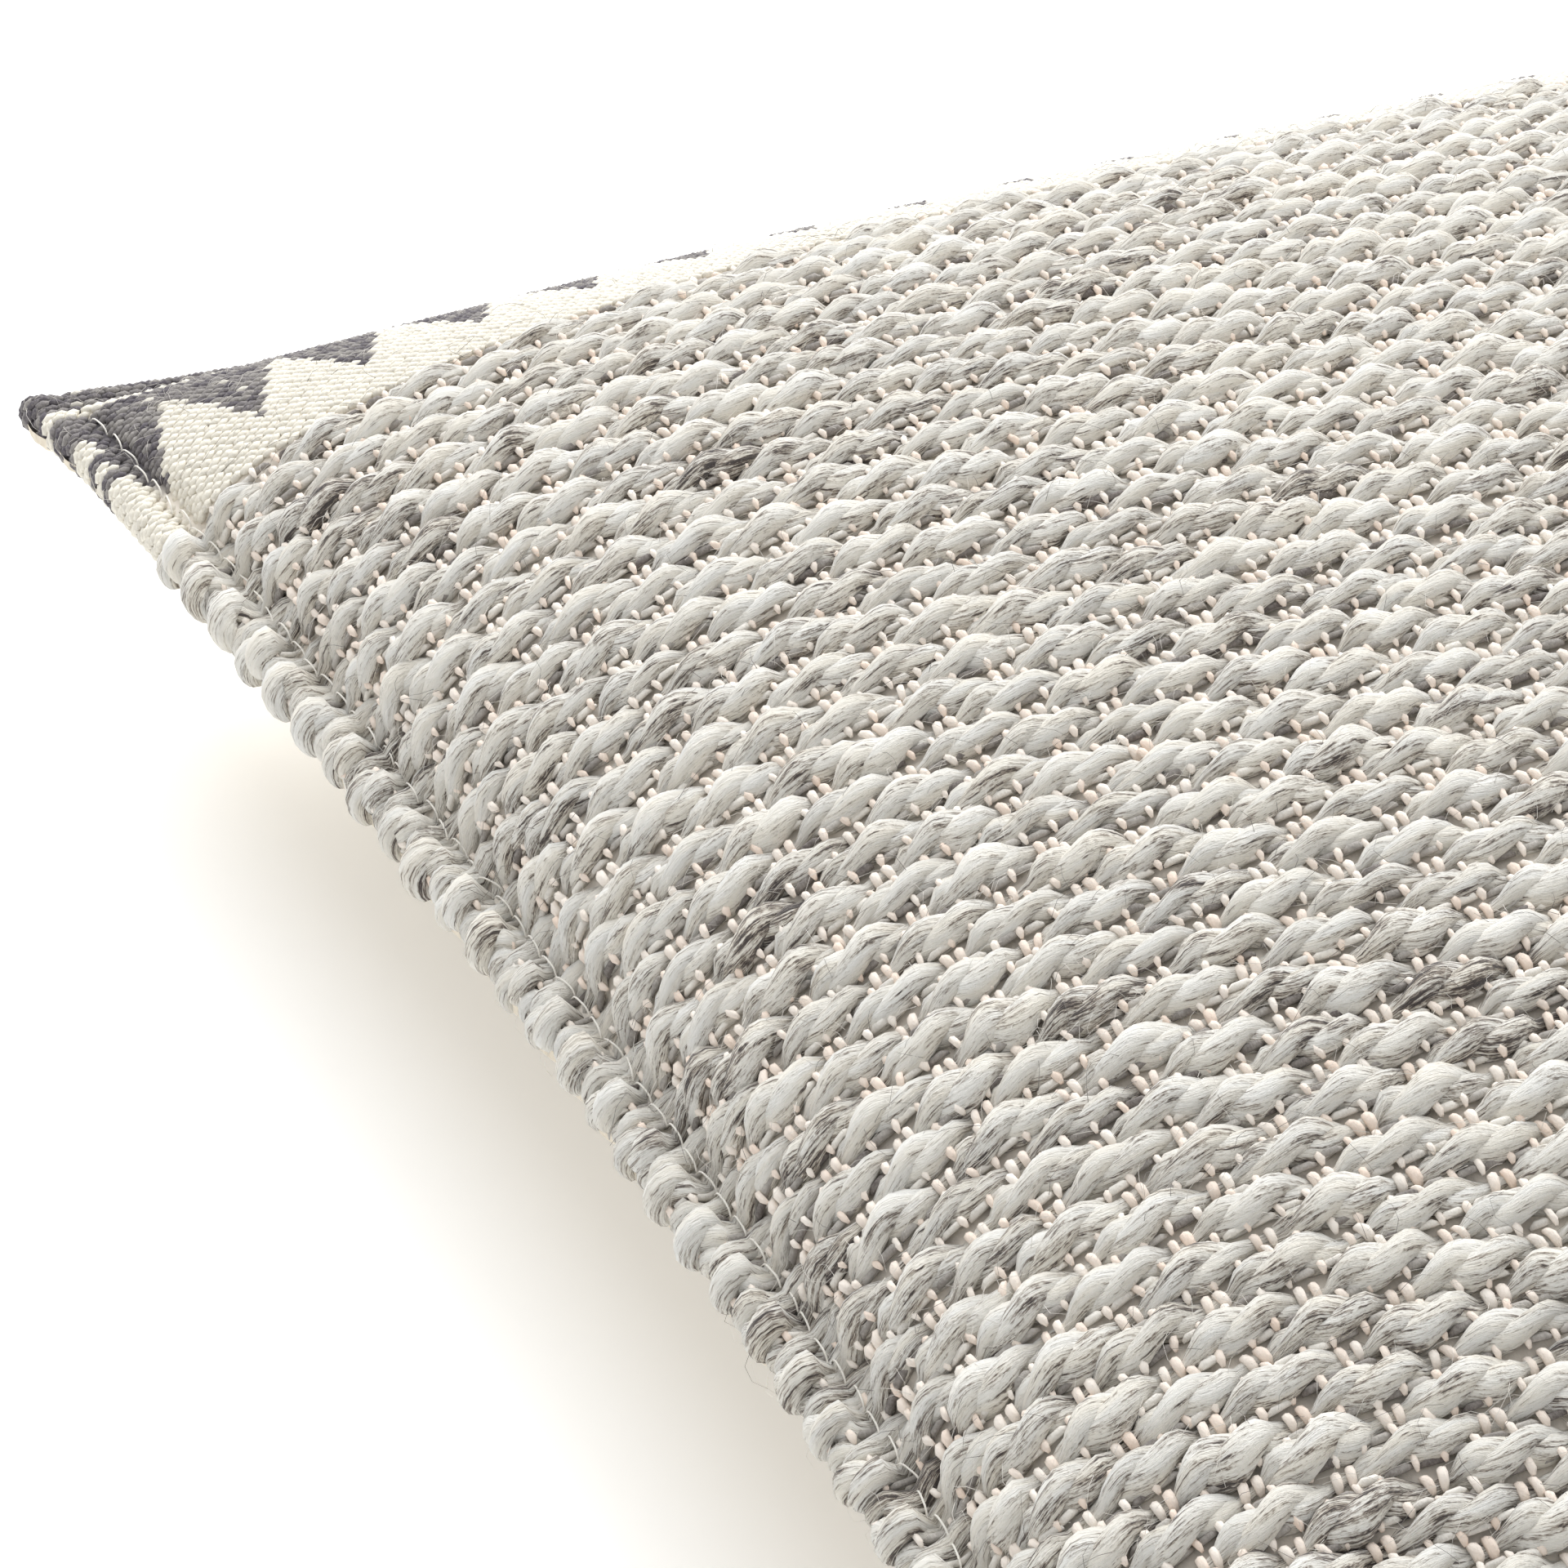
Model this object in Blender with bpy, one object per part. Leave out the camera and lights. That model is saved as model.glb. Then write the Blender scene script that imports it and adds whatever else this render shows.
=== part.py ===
"""A square throw pillow lying on its back: a hand-woven face and a plain back, joined by a
rolled, topstitched edge and closed along one edge by a zip, over a filled insert.
Metres, +Z up. The origin is on the surface that the pillow rests on, under its middle.
The zip edge faces -Y. Each cloth is a thin shell of its own."""

import bmesh
import bpy
import numpy as np

# Driving dimensions of the pillow
HALF_SIDE = 0.250  # from the middle to a corner, along X and along Y
PULL_IN = 0.045  # how far an edge is drawn in at its middle, as a share of HALF_SIDE
ZIP_CORNER = 0.28  # share of the half side over which the zip edge curves out to a corner
SEAM_HEIGHT = 0.050  # the plane where the face meets the back
CROWN_RISE = 0.060  # the face swells this far above the rolled edge
BELLY_DEPTH = 0.058  # the back would hang this far below the rolled edge, if nothing flattened it
SWELL_WIDTH = 2.44  # exponents of the cushion's section
SWELL_ROUND = 0.56
ROLL_RADIUS = 0.0045
STITCH_INSET = 0.0085  # from the edge to the line where the roll ends and the swell starts
FACE_CLOTH = 0.0030
BACK_CLOTH = 0.0016
CASING_CLOTH = 0.0008
INSERT_INSET = 0.019  # the insert ends this far inside the cover's edge
GAP = 0.0003  # left between pieces that touch
SLACK = 0.0020  # left between the cover and the insert
COVER_CELLS = 8  # grid cells from the middle to the edge, inside the edge's own steps
INSERT_CELLS = 7
COVER_STEPS = (0.0, 0.3 * ROLL_RADIUS, ROLL_RADIUS, STITCH_INSET, 1.35 * STITCH_INSET, 0.020)
INSERT_STEPS = (0.0, 0.006, 0.018)  # where the first grid lines lie, in from the edge

# The zip, as distances inwards from the edge and along X
ZIP_HEIGHT = 0.0064  # the opening between the two folded edges of the cover
SLOT_LENGTH = 0.356
SLOT_DEPTH = 0.012
CUT_BEYOND = 0.02  # the opening is cut from this far outside the edge
TAPE_LENGTH = 0.354
TAPE_WIDTH = 0.0097
TAPE_THICKNESS = 0.0007
TAPE_START = 0.0012  # from the zip's middle plane to each tape
COIL_START = -0.1607
COIL_END = 0.1687
COIL_INSET = 0.0030
COIL_DEPTH = 0.0020
COIL_INNER = 0.0006  # half of the parting that the slider's post runs in
COIL_OUTER = 0.0020
STOP_LENGTH = 0.0020
END_STOP_LENGTH = 0.0030
STOP_LIP = 0.0004  # a stop stands this far out of the coil
STOP_INNER = 0.0004
STOP_OUTER = 0.0022
SLIDER_CLOSED = 0.163  # the slider's middle when the zip is closed
SLIDER_LENGTH = 0.0110
SLIDER_HEIGHT = 0.0052
SLIDER_NEAR = 0.0008  # from the edge in to the slider's front plate
SLIDER_BEVEL = 0.0004
PLATE_THICKNESS = 0.0014
REAR_PLATE_LENGTH = 0.0100
REAR_PLATE_THICKNESS = 0.0010
REAR_PLATE_HEIGHT = 0.0018
REAR_PLATE_CLEARANCE = 0.0004  # behind the coils
POST_START = 0.0015
POST_END = 0.0045
POST_HEIGHT = 0.0007
BRIDGE_OUT = 0.0021  # from the hinge axis to the bridge's outer side
BRIDGE_HALF_LENGTH = 0.0034
BRIDGE_THICKNESS = 0.0009
BRIDGE_HEIGHT = 0.0016
JOINED = 0.0003  # pieces of the slider run this far into each other
PULL_LENGTH = 0.020
PULL_THICKNESS = 0.0012
PULL_AXIS_OUT = 0.00045  # the pull's hinge stands this far out from the edge
EYE_LENGTH = 0.0046
EYE_HEIGHT = 0.0028
SMALL_BEVEL = 0.0003

THREAD_RADIUS = 0.0004
THREAD_INSET = 0.0065
THREAD_POINTS = 24
THREAD_END = 1.35  # a line of thread ends this many insets from the corner


def clear_scene():
    for old in list(bpy.data.objects):
        bpy.data.objects.remove(old)


def make_material(name, colour, roughness, metallic=0.0):
    made = bpy.data.materials.new(name)
    made.use_nodes = True
    shader = made.node_tree.nodes["Principled BSDF"]
    shader.inputs["Base Color"].default_value = (*colour, 1.0)
    shader.inputs["Roughness"].default_value = roughness
    shader.inputs["Metallic"].default_value = metallic
    return made


def add_object(name, mesh, material, parent=None):
    made = bpy.data.objects.new(name, mesh)
    made.data.materials.append(material)
    made.parent = parent
    bpy.context.scene.collection.objects.link(made)
    return made


def swell(across):
    """Height of the swell from the middle, 1, to the edge, 0."""
    inside = np.clip(np.abs(across), 0.0, 1.0)
    return (1.0 - inside**SWELL_WIDTH) ** SWELL_ROUND


def zip_edge_pull(s):
    """The zip keeps its edge straight, so that edge curves only near its corners."""
    along = np.clip((1.0 - np.abs(s)) / ZIP_CORNER, 0.0, 1.0)
    return along * along * (3.0 - 2.0 * along)


def plan_point(s, t, half):
    """Where the grid point (s, t), each from -1 to 1, is seen from above."""
    pull = zip_edge_pull(s) if t < 0 else 1.0 - s * s
    x = half * s * (1.0 - PULL_IN * (1.0 - t * t))
    y = half * t * (1.0 - PULL_IN * pull)
    return x, y


def puff(s, t, half, roll, rise, inset):
    """Height of a cloth away from the seam plane: the rolled edge, then the swell."""
    to_edge = half * min(1.0 - abs(s), 1.0 - abs(t))
    rounded = 0.0
    if roll > 0:
        rounded = roll * np.sqrt(1.0 - max(0.0, 1.0 - to_edge / roll) ** 2)
    inner = half / (half - inset)
    return rounded + rise * swell(s * inner) * swell(t * inner)


def grid_lines(half, edge_steps, middle_count):
    """Grid positions from -1 to 1, close together in the edge's steps."""
    near = [1.0 - step / half for step in edge_steps]
    last = near[-1]
    middle = [last * np.sin(np.pi / 2 * i / middle_count) for i in range(middle_count)]
    positive = sorted(near + middle[1:])
    return [-value for value in reversed(positive)] + [0.0] + positive


def grid_of_vertices(mesh, lines, height_at, half):
    rows = []
    for s in lines:
        row = []
        for t in lines:
            x, y = plan_point(s, t, half)
            row.append(mesh.verts.new((x, y, height_at(s, t))))
        rows.append(row)
    return rows


def rim_of(rows):
    """The outer vertices of a grid, in order round it."""
    last = len(rows) - 1
    first_side = [rows[i][0] for i in range(last)]
    second_side = [rows[last][j] for j in range(last)]
    third_side = [rows[i][last] for i in range(last, 0, -1)]
    fourth_side = [rows[0][j] for j in range(last, 0, -1)]
    return first_side + second_side + third_side + fourth_side


def add_grid_faces(mesh, rows):
    for i in range(len(rows) - 1):
        for j in range(len(rows) - 1):
            corners = (rows[i][j], rows[i + 1][j], rows[i + 1][j + 1], rows[i][j + 1])
            mesh.faces.new(corners)


def finish_mesh(mesh, name):
    bmesh.ops.recalc_face_normals(mesh, faces=mesh.faces)
    if mesh.calc_volume(signed=True) < 0:
        bmesh.ops.reverse_faces(mesh, faces=mesh.faces)
    data = bpy.data.meshes.new(name)
    mesh.to_mesh(data)
    mesh.free()
    data.shade_smooth()
    data.set_sharp_from_angle(angle=np.radians(40))
    return data


def cloth_shell(name, outer, inner, half, thickness, edge_steps, middle_count):
    """A shell between two surfaces, closed round its rim by a flat band."""
    mesh = bmesh.new()
    lines = grid_lines(half, edge_steps, middle_count)
    outside = grid_of_vertices(mesh, lines, outer, half)
    inside = grid_of_vertices(mesh, lines, inner, half - thickness)
    add_grid_faces(mesh, outside)
    add_grid_faces(mesh, inside)
    outer_rim = rim_of(outside)
    inner_rim = rim_of(inside)
    for i in range(len(outer_rim)):
        j = (i + 1) % len(outer_rim)
        mesh.faces.new((outer_rim[i], outer_rim[j], inner_rim[j], inner_rim[i]))
    return finish_mesh(mesh, name)


def front_panel_mesh():
    half_inside = HALF_SIDE - FACE_CLOTH

    def outer(s, t):
        rise = puff(s, t, HALF_SIDE, ROLL_RADIUS, CROWN_RISE, STITCH_INSET)
        return SEAM_HEIGHT + GAP / 2 + rise

    def inner(s, t):
        rise = puff(s, t, half_inside, ROLL_RADIUS - FACE_CLOTH, CROWN_RISE, STITCH_INSET)
        return SEAM_HEIGHT + GAP / 2 + rise

    return cloth_shell("front_panel", outer, inner, HALF_SIDE, FACE_CLOTH, COVER_STEPS, COVER_CELLS)


def back_panel_mesh():
    half_inside = HALF_SIDE - BACK_CLOTH

    def outer(s, t):
        drop = puff(s, t, HALF_SIDE, ROLL_RADIUS, BELLY_DEPTH, STITCH_INSET)
        return max(0.0, SEAM_HEIGHT - GAP / 2 - drop)

    def inner(s, t):
        drop = puff(s, t, half_inside, ROLL_RADIUS - BACK_CLOTH, BELLY_DEPTH, STITCH_INSET)
        return max(BACK_CLOTH, SEAM_HEIGHT - GAP / 2 - drop)

    return cloth_shell("back_panel", outer, inner, HALF_SIDE, BACK_CLOTH, COVER_STEPS, COVER_CELLS)


def insert_top(layers):
    """Height of the insert's upper side, this many casing cloths and gaps below its outside."""
    depth = layers * CASING_CLOTH
    rise = CROWN_RISE + ROLL_RADIUS - FACE_CLOTH - SLACK - depth
    half = HALF_SIDE - INSERT_INSET - depth

    def height(s, t):
        return SEAM_HEIGHT + GAP / 2 + puff(s, t, half, 0.0, rise, 0.0)

    return height


def insert_bottom(layers):
    depth = layers * CASING_CLOTH
    drop = BELLY_DEPTH + ROLL_RADIUS - BACK_CLOTH - SLACK - depth
    half = HALF_SIDE - INSERT_INSET - depth
    lowest = BACK_CLOTH + SLACK + depth

    def height(s, t):
        return max(lowest, SEAM_HEIGHT - GAP / 2 - puff(s, t, half, 0.0, drop, 0.0))

    return height


def casing_mesh(name, surface):
    half = HALF_SIDE - INSERT_INSET
    return cloth_shell(name, surface(0), surface(1), half, CASING_CLOTH, INSERT_STEPS, INSERT_CELLS)


def fill_mesh():
    """The filling, one soft body inside both halves of the casing."""
    layers = 2.0
    half = HALF_SIDE - INSERT_INSET - layers * CASING_CLOTH
    mesh = bmesh.new()
    lines = grid_lines(half, INSERT_STEPS, INSERT_CELLS)
    top = grid_of_vertices(mesh, lines, insert_top(layers), half)
    bottom = grid_of_vertices(mesh, lines, insert_bottom(layers), half)
    add_grid_faces(mesh, top)
    add_grid_faces(mesh, bottom)
    top_rim = rim_of(top)
    bottom_rim = rim_of(bottom)
    for i in range(len(top_rim)):
        j = (i + 1) % len(top_rim)
        mesh.faces.new((top_rim[i], top_rim[j], bottom_rim[j], bottom_rim[i]))
    return finish_mesh(mesh, "insert_fill")


def box_mesh(name, low, high, bevel=0.0):
    mesh = bmesh.new()
    bmesh.ops.create_cube(mesh, size=1.0)
    low = np.array(low)
    high = np.array(high)
    bmesh.ops.scale(mesh, vec=high - low, verts=mesh.verts)
    bmesh.ops.translate(mesh, vec=(low + high) / 2, verts=mesh.verts)
    if bevel > 0:
        bmesh.ops.bevel(mesh, geom=mesh.edges[:], offset=bevel, segments=1, affect="EDGES")
    return finish_mesh(mesh, name)


def add_helper(name, mesh):
    helper = bpy.data.objects.new(name, mesh)
    helper.hide_render = True
    helper.display_type = "WIRE"
    bpy.context.scene.collection.objects.link(helper)
    return helper


def apply_shape(target, helper, operation, solver="EXACT"):
    modifier = target.modifiers.new(operation.title() + " " + helper.name, "BOOLEAN")
    modifier.operation = operation
    modifier.solver = solver
    modifier.object = helper


def edge_y():
    """The straight part of the zip edge."""
    return -HALF_SIDE * (1.0 - PULL_IN)


def inwards(low_x, high_x, near, far, low_z, high_z):
    """Corners of a box given by its distances in from the zip edge and up from the seam."""
    low = (low_x, edge_y() + near, SEAM_HEIGHT + low_z)
    high = (high_x, edge_y() + far, SEAM_HEIGHT + high_z)
    return low, high


def add_cover(face_material, back_material):
    half_slot = SLOT_LENGTH / 2
    half_height = ZIP_HEIGHT / 2
    low, high = inwards(-half_slot, half_slot, -CUT_BEYOND, SLOT_DEPTH, -half_height, half_height)
    slot = add_helper("zip_slot", box_mesh("zip_slot", low, high))
    front = add_object("front_panel", front_panel_mesh(), face_material)
    back = add_object("back_panel", back_panel_mesh(), back_material)
    apply_shape(front, slot, "DIFFERENCE", "MANIFOLD")
    apply_shape(back, slot, "DIFFERENCE", "MANIFOLD")


def add_topstitches(material):
    """One line of thread along each edge, on the flat top of the roll."""
    across = 1.0 - THREAD_INSET / HALF_SIDE
    ends = 1.0 - THREAD_END * THREAD_INSET / HALF_SIDE
    height = SEAM_HEIGHT + GAP / 2 + ROLL_RADIUS + GAP + THREAD_RADIUS
    for name, side in (("back", "t"), ("zip", "-t"), ("right", "s"), ("left", "-s")):
        curve = bpy.data.curves.new("topstitch_" + name, "CURVE")
        curve.dimensions = "3D"
        curve.bevel_depth = THREAD_RADIUS
        curve.bevel_resolution = 1
        curve.use_fill_caps = True
        spline = curve.splines.new("POLY")
        spline.points.add(THREAD_POINTS - 1)
        for i, point in enumerate(spline.points):
            along = ends * (2 * i / (THREAD_POINTS - 1) - 1)
            outward = -across if side.startswith("-") else across
            s, t = (along, outward) if side.endswith("t") else (outward, along)
            point.co = (*plan_point(s, t, HALF_SIDE), height, 1.0)
        add_object("topstitch_" + name, curve, material)


def add_insert(casing_material, fill_material):
    for name, surface in (("insert_casing_front", insert_top), ("insert_casing_back", insert_bottom)):
        add_object(name, casing_mesh(name, surface), casing_material)
    add_object("insert_fill", fill_mesh(), fill_material)


def add_zip_halves(tape_material, coil_material, stop_material):
    half_tape = TAPE_LENGTH / 2
    coil_far = COIL_INSET + COIL_DEPTH
    tape_near = coil_far + GAP
    tape_far = tape_near + TAPE_WIDTH
    tape_outer = TAPE_START + TAPE_THICKNESS
    stop_near = COIL_INSET - STOP_LIP
    stop_start = COIL_END + GAP
    stop_end = stop_start + STOP_LENGTH
    shapes = (
        ("zip_tape", -half_tape, half_tape, tape_near, tape_far, TAPE_START, tape_outer, 0.0, tape_material),
        ("zip_coil", COIL_START, COIL_END, COIL_INSET, coil_far, COIL_INNER, COIL_OUTER, SMALL_BEVEL,
         coil_material),
        ("zip_top_stop", stop_start, stop_end, stop_near, coil_far, STOP_INNER, STOP_OUTER, SMALL_BEVEL,
         stop_material),
    )
    for half, up in (("upper", 1), ("lower", -1)):
        for piece, low_x, high_x, near, far, inner, outer, bevel, material in shapes:
            low_z, high_z = sorted((up * inner, up * outer))
            low, high = inwards(low_x, high_x, near, far, low_z, high_z)
            add_object(f"{piece}_{half}", box_mesh(piece, low, high, bevel), material)
    last = COIL_START - GAP
    low, high = inwards(last - END_STOP_LENGTH, last, stop_near, coil_far, -STOP_OUTER, STOP_OUTER)
    add_object("zip_end_stop", box_mesh("zip_end_stop", low, high, SMALL_BEVEL), stop_material)


def slider_origin():
    """The pull's hinge axis, which is also where the slider is placed."""
    return (SLIDER_CLOSED, edge_y() - PULL_AXIS_OUT, SEAM_HEIGHT)


def along_slider(start, end, near, far, height):
    """Corners of a box in the slider's own frame, centred in height."""
    return (start, near, -height / 2), (end, far, height / 2)


def add_slider(material):
    """Two plates joined by a post between the coils, and a bridge that holds the pull."""
    half_length = SLIDER_LENGTH / 2
    front_near = SLIDER_NEAR + PULL_AXIS_OUT
    front_far = front_near + PLATE_THICKNESS
    rear_near = COIL_INSET + COIL_DEPTH + REAR_PLATE_CLEARANCE + PULL_AXIS_OUT
    rear_far = rear_near + REAR_PLATE_THICKNESS
    half_rear = REAR_PLATE_LENGTH / 2
    leg_near = -BRIDGE_OUT + JOINED
    leg_far = front_near + JOINED
    leg_inner = BRIDGE_HALF_LENGTH - BRIDGE_THICKNESS
    bar_far = -BRIDGE_OUT + BRIDGE_THICKNESS
    low, high = along_slider(-half_length, half_length, front_near, front_far, SLIDER_HEIGHT)
    slider = add_object("zip_slider", box_mesh("zip_slider", low, high, SLIDER_BEVEL), material)
    slider.location = slider_origin()
    shapes = {
        "slider_rear_plate": (-half_rear, half_rear, rear_near, rear_far, REAR_PLATE_HEIGHT),
        "slider_post": (POST_START, POST_END, front_far - JOINED, rear_near + JOINED, POST_HEIGHT),
        "bridge_bar": (-BRIDGE_HALF_LENGTH, BRIDGE_HALF_LENGTH, -BRIDGE_OUT, bar_far, BRIDGE_HEIGHT),
        "bridge_leg_left": (-BRIDGE_HALF_LENGTH, -leg_inner, leg_near, leg_far, BRIDGE_HEIGHT),
        "bridge_leg_right": (leg_inner, BRIDGE_HALF_LENGTH, leg_near, leg_far, BRIDGE_HEIGHT),
    }
    for name, shape in shapes.items():
        low, high = along_slider(*shape)
        helper = add_helper(name, box_mesh(name, low, high))
        helper.parent = slider
        apply_shape(slider, helper, "UNION")


def add_pull(material):
    """A flat tab with a square eye, whose end bar turns under the slider's bridge."""
    half_thickness = PULL_THICKNESS / 2
    low, high = along_slider(-PULL_LENGTH, half_thickness, -half_thickness, half_thickness, SLIDER_HEIGHT)
    pull = add_object("zip_pull", box_mesh("zip_pull", low, high, SMALL_BEVEL), material)
    pull.location = slider_origin()
    low, high = along_slider(-EYE_LENGTH, -half_thickness, -PULL_THICKNESS, PULL_THICKNESS, EYE_HEIGHT)
    eye = add_helper("pull_eye", box_mesh("pull_eye", low, high))
    eye.parent = pull
    apply_shape(pull, eye, "DIFFERENCE")


def main():
    clear_scene()
    wool = make_material("woven_wool", (0.70, 0.68, 0.63), 0.95)
    cotton = make_material("back_cotton", (0.78, 0.73, 0.64), 0.9)
    thread = make_material("topstitch_thread", (0.84, 0.81, 0.74), 0.7)
    casing = make_material("insert_casing", (0.86, 0.86, 0.84), 0.85)
    filling = make_material("insert_filling", (0.90, 0.89, 0.86), 1.0)
    tape = make_material("zip_tape", (0.76, 0.72, 0.63), 0.85)
    coil = make_material("zip_coil", (0.74, 0.70, 0.62), 0.4)
    metal = make_material("zip_metal", (0.55, 0.54, 0.52), 0.35, 1.0)
    add_cover(wool, cotton)
    add_topstitches(thread)
    add_insert(casing, filling)
    add_zip_halves(tape, coil, metal)
    add_slider(metal)
    add_pull(metal)


main()
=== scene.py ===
import math

import bmesh
import bpy
import numpy as np
from mathutils import Matrix, Vector


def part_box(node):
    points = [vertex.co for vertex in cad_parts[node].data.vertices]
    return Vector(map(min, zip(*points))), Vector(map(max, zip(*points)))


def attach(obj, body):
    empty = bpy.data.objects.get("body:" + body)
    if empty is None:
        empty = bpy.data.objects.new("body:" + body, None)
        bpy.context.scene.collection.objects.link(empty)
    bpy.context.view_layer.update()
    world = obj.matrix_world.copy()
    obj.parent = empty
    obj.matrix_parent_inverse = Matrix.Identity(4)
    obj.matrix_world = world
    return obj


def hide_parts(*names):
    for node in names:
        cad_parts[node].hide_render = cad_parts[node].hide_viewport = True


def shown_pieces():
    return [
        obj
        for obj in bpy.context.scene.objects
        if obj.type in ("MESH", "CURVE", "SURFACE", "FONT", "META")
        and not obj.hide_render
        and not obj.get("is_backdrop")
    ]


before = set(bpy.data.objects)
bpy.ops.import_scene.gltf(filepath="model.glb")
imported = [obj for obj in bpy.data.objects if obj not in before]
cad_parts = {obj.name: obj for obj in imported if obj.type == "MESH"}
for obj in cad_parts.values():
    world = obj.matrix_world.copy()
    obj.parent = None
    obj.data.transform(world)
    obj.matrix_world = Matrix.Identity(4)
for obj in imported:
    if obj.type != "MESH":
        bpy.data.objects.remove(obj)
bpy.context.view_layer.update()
rng = np.random.default_rng(27)

# The cover's own shape, the same as the frame's panels, in metres.
cover = {
    "half": 0.25,
    "pullIn": 0.045,
    "zipCorner": 0.28,
    "seamHeight": 0.05,
    "gap": 0.0003,
    "rise": 0.060,
    "belly": 0.058,
    "swellWidth": 2.44,
    "swellRound": 0.56,
    "roll": 0.0045,
    "stitchInset": 0.0085,
    "cornerRound": 0.0075,
    "cornerReach": 0.0030,
    "turnUnder": 2.45,  # how far the cloth turns round the rolled edge, in radians
    "nubFrom": 0.88,
    "nubOver": 0.12,
    "tableSize": 701,
    "tablePasses": 7,
}
sectionStraight = cover["half"] - cover["roll"]
sectionReach = sectionStraight + cover["roll"] * cover["turnUnder"]
stitchShare = (cover["half"] - cover["stitchInset"]) / sectionReach


def colour(red, green, blue):
    # a screen colour from 0 to 255 as the shader's linear colour
    parts = [c / 255 for c in (red, green, blue)]
    linear = [c / 12.92 if c <= 0.04045 else ((c + 0.055) / 1.055) ** 2.4 for c in parts]
    return (*linear, 1.0)


def shaderOf(material):
    return material.node_tree.nodes["Principled BSDF"]


def setInputs(node, values):
    for socket, value in values.items():
        node.inputs[socket].default_value = value


def newMaterial(name, roughness=0.8, sheen=0.0, metallic=0.0):
    material = bpy.data.materials.new(name)
    material.use_nodes = True
    setInputs(shaderOf(material), {
        "Roughness": roughness,
        "Sheen Weight": sheen,
        "Sheen Roughness": 0.5,
        "Metallic": metallic,
        "Specular IOR Level": 0.5 if metallic else 0.25,
    })
    return material


def addNode(material, kind, **settings):
    node = material.node_tree.nodes.new(kind)
    for name, value in settings.items():
        setattr(node, name, value)
    return node


def link(material, start, end):
    material.node_tree.links.new(start, end)


def objectPlace(material):
    return addNode(material, "ShaderNodeTexCoord").outputs["Object"]


def mathNode(material, operation, first, second):
    node = addNode(material, "ShaderNodeMath", operation=operation)
    for socket, value in zip(node.inputs, (first, second)):
        if isinstance(value, (int, float)):
            socket.default_value = value
        else:
            link(material, value, socket)
    return node.outputs[0]


def centred(material, factor, gain):
    # a noise from 0 to 1, moved to lie about 0 and scaled
    return mathNode(material, "MULTIPLY", mathNode(material, "SUBTRACT", factor, 0.5), gain)


def rampNode(material, factor, stops):
    node = addNode(material, "ShaderNodeValToRGB")
    ramp = node.color_ramp
    while len(ramp.elements) < len(stops):
        ramp.elements.new(0.5)
    for element, (place, shade) in zip(ramp.elements, stops):
        element.position = place
        element.color = shade
    link(material, factor, node.inputs[0])
    return node.outputs[0]


def paint(material, factor, stops):
    link(material, rampNode(material, factor, stops), shaderOf(material).inputs["Base Color"])


def noiseNode(material, vector, scale, detail=3.0, roughness=0.6, stretch=(1, 1, 1)):
    mapping = addNode(material, "ShaderNodeMapping")
    setInputs(mapping, {"Scale": stretch})
    noise = addNode(material, "ShaderNodeTexNoise")
    setInputs(noise, {"Scale": scale, "Detail": detail, "Roughness": roughness})
    link(material, vector, mapping.inputs["Vector"])
    link(material, mapping.outputs[0], noise.inputs["Vector"])
    return noise.outputs["Fac"]


def bumpFrom(material, height, strength, distance):
    bump = addNode(material, "ShaderNodeBump")
    setInputs(bump, {"Strength": strength, "Distance": distance})
    link(material, height, bump.inputs["Height"])
    link(material, bump.outputs[0], shaderOf(material).inputs["Normal"])


def coordinates(mesh):
    found = np.empty(len(mesh.vertices) * 3, np.float32)
    mesh.vertices.foreach_get("co", found)
    return found.reshape(-1, 3).astype(np.float64)


def moveTo(mesh, points):
    mesh.vertices.foreach_set("co", np.asarray(points, np.float32).ravel())
    mesh.update()


def giveValue(mesh, name, values):
    attribute = mesh.attributes.new(name, "FLOAT", "POINT")
    attribute.data.foreach_set("value", np.asarray(values, np.float32).ravel())


def giveVector(mesh, name, values):
    attribute = mesh.attributes.new(name, "FLOAT_VECTOR", "POINT")
    attribute.data.foreach_set("vector", np.asarray(values, np.float32).ravel())


def gridOf(across, size=1.0):
    grid = bmesh.new()
    bmesh.ops.create_grid(grid, x_segments=across, y_segments=across, size=size)
    return grid


def meshFrom(one, name):
    mesh = bpy.data.meshes.new(name)
    one.to_mesh(mesh)
    one.free()
    return mesh


def manyOf(one, name, copies):
    # one mesh with this many copies of a small shape, in order, joined in blocks to save time
    blockSize = 64
    shape = meshFrom(one, name + "One")
    perCopy = len(shape.vertices)
    points = coordinates(shape)
    many = bmesh.new()
    copiesLeft = copies
    if copies > 2 * blockSize:
        block = bmesh.new()
        for _ in range(blockSize):
            block.from_mesh(shape)
        blockMesh = meshFrom(block, name + "Block")
        for _ in range(copies // blockSize):
            many.from_mesh(blockMesh)
        bpy.data.meshes.remove(blockMesh)
        copiesLeft = copies % blockSize
    for _ in range(copiesLeft):
        many.from_mesh(shape)
    bpy.data.meshes.remove(shape)
    which = np.repeat(np.arange(copies), perCopy)
    return meshFrom(many, name), np.tile(points, (copies, 1)), which


def tubes(name, copies, sides, cuts):
    # closed tubes along z from -0.5 to 0.5, with the angle round each one
    one = bmesh.new()
    bmesh.ops.create_cone(
        one, cap_ends=True, cap_tris=False, segments=sides, radius1=1, radius2=1, depth=1,
    )
    lengthways = [e for e in one.edges if abs(e.verts[0].co.z - e.verts[1].co.z) > 0.5]
    bmesh.ops.subdivide_edges(one, edges=lengthways, cuts=cuts, use_grid_fill=True)
    mesh, points, which = manyOf(one, name, copies)
    angle = np.arctan2(points[:, 1], points[:, 0])
    return mesh, points[:, 2], angle, which


def beads(name, copies, subdivisions=1):
    one = bmesh.new()
    bmesh.ops.create_icosphere(one, subdivisions=subdivisions, radius=1)
    return manyOf(one, name, copies)


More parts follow.
